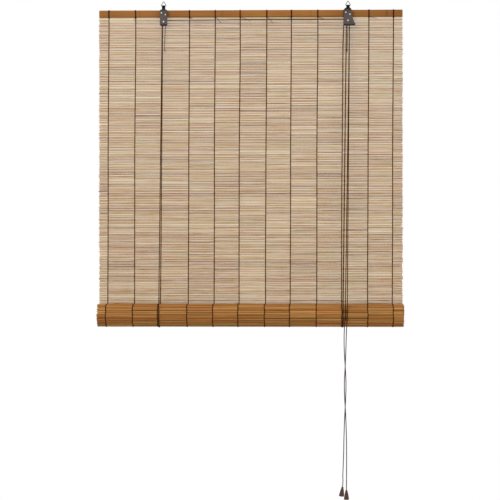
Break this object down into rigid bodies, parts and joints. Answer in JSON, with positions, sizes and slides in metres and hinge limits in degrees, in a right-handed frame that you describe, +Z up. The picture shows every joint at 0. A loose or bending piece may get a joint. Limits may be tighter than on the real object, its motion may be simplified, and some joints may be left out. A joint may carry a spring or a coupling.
{
  "type": "roll-up bamboo blind",
  "caption": "Roll-up blind of split bamboo sticks tied with dark thread, its lower end wound up, hung from ring hangers with pulleys, a cord lock and pull cords with wooden tassels.",
  "frame": {"origin": "midway along the blind, on the line that joins the tops of the two hanging rings", "axes": "+Z up, +X to the right seen from the front, +Y to the back, front faces -Y"},
  "size_m": [0.9, 0.0874, 1.4676],
  "materials": {
    "rail_bamboo": "stained bamboo lath, satin",
    "mat_bamboo": "split bamboo sticks, matt with a faint sheen",
    "roll_bamboo": "split bamboo sticks, matt with a faint sheen",
    "warp_thread": "dark brown cotton thread",
    "lift_cord": "dark brown braided cord",
    "tail_cord": "brown twisted cord",
    "hanger_steel": "blackened pressed steel",
    "ring_wire": "nickel plated wire",
    "rivet_nickel": "nickel plated, bright",
    "pulley_brass": "turned brass",
    "roller_steel": "toothed steel roller",
    "tassel_wood": "turned wood, dark brown lacquer"
  },
  "bodies": {
    "root": {"head_rail": "rail_bamboo", "mat": "mat_bamboo", "warp_thread_01": "warp_thread", "warp_thread_02": "warp_thread", "warp_thread_03": "warp_thread", "warp_thread_04": "warp_thread", "warp_thread_05": "warp_thread", "warp_thread_06": "warp_thread", "warp_thread_07": "warp_thread", "warp_thread_08": "warp_thread", "warp_thread_09": "warp_thread", "warp_thread_10": "warp_thread", "warp_thread_11": "warp_thread", "warp_thread_12": "warp_thread", "left_hanger": "hanger_steel", "cord_lock": "hanger_steel", "left_hanger_nails": "rivet_nickel", "cord_lock_nails": "rivet_nickel", "left_axle": "rivet_nickel", "lock_axle": "rivet_nickel", "cord_nails": "rivet_nickel", "nail_knots": "lift_cord", "back_cord_left": "lift_cord", "back_cord_right": "lift_cord", "front_cord_left": "lift_cord", "front_cord_right": "lift_cord", "cross_cord": "lift_cord", "lock_cord": "lift_cord", "pull_cord_upper_a": "lift_cord", "pull_cord_upper_b": "lift_cord", "cord_tail_left": "tail_cord", "cord_tail_right": "tail_cord", "tail_knot_left": "tail_cord", "tail_knot_right": "tail_cord"},
    "ring_left": {"left_ring": "ring_wire"},
    "ring_right": {"right_ring": "ring_wire"},
    "pulley_left": {"left_pulley": "pulley_brass"},
    "pulley_lock": {"lock_pulley": "pulley_brass"},
    "roller": {"lock_roller": "roller_steel"},
    "roll": {"rolled_mat": "roll_bamboo", "bottom_lath": "roll_bamboo", "roll_threads": "warp_thread", "sling_left": "lift_cord", "sling_right": "lift_cord", "pull_cord_lower_a": "lift_cord", "pull_cord_lower_b": "lift_cord"},
    "tassels": {"tassel_a": "tassel_wood", "tassel_b": "tassel_wood", "tassel_knot_a": "lift_cord", "tassel_knot_b": "lift_cord"}
  },
  "joints": [
    {"name": "ring_left_swing", "type": "hinge", "parent": "root", "child": "ring_left", "pos_m": [-0.2578, 0, -0.014], "axis": [1, 0, 0], "range_deg": [-90, 90]},
    {"name": "ring_right_swing", "type": "hinge", "parent": "root", "child": "ring_right", "pos_m": [0.2885, 0, -0.014], "axis": [1, 0, 0], "range_deg": [-90, 90]},
    {"name": "pulley_left_spin", "type": "hinge", "parent": "root", "child": "pulley_left", "pos_m": [-0.2578, 0, -0.061], "axis": [0, 1, 0], "continuous": true},
    {"name": "pulley_lock_spin", "type": "hinge", "parent": "root", "child": "pulley_lock", "pos_m": [0.2885, 0, -0.059], "axis": [0, 1, 0], "continuous": true},
    {"name": "roller_slide", "type": "slide", "parent": "root", "child": "roller", "axis": [0.3841, 0, -0.9233], "range_m": [0, 0.009]},
    {"name": "roll_lift", "type": "slide", "parent": "root", "child": "roll", "axis": [0, 0, 1], "range_m": [0, 0.74], "deforming": ["mat", "warp_thread_01", "warp_thread_02", "warp_thread_03", "warp_thread_04", "warp_thread_05", "warp_thread_06", "warp_thread_07", "warp_thread_08", "warp_thread_09", "warp_thread_10", "warp_thread_11", "warp_thread_12", "back_cord_left", "back_cord_right", "front_cord_left", "front_cord_right", "pull_cord_upper_a", "pull_cord_upper_b"]},
    {"name": "tassel_drop", "type": "slide", "parent": "roll", "child": "tassels", "axis": [0, 0, 1], "range_m": [-2.22, 0], "deforming": ["pull_cord_lower_a", "pull_cord_lower_b"]}
  ],
  "couplings": [
    {"joint": "tassel_drop", "follows": "roll_lift", "ratio": -3}
  ]
}
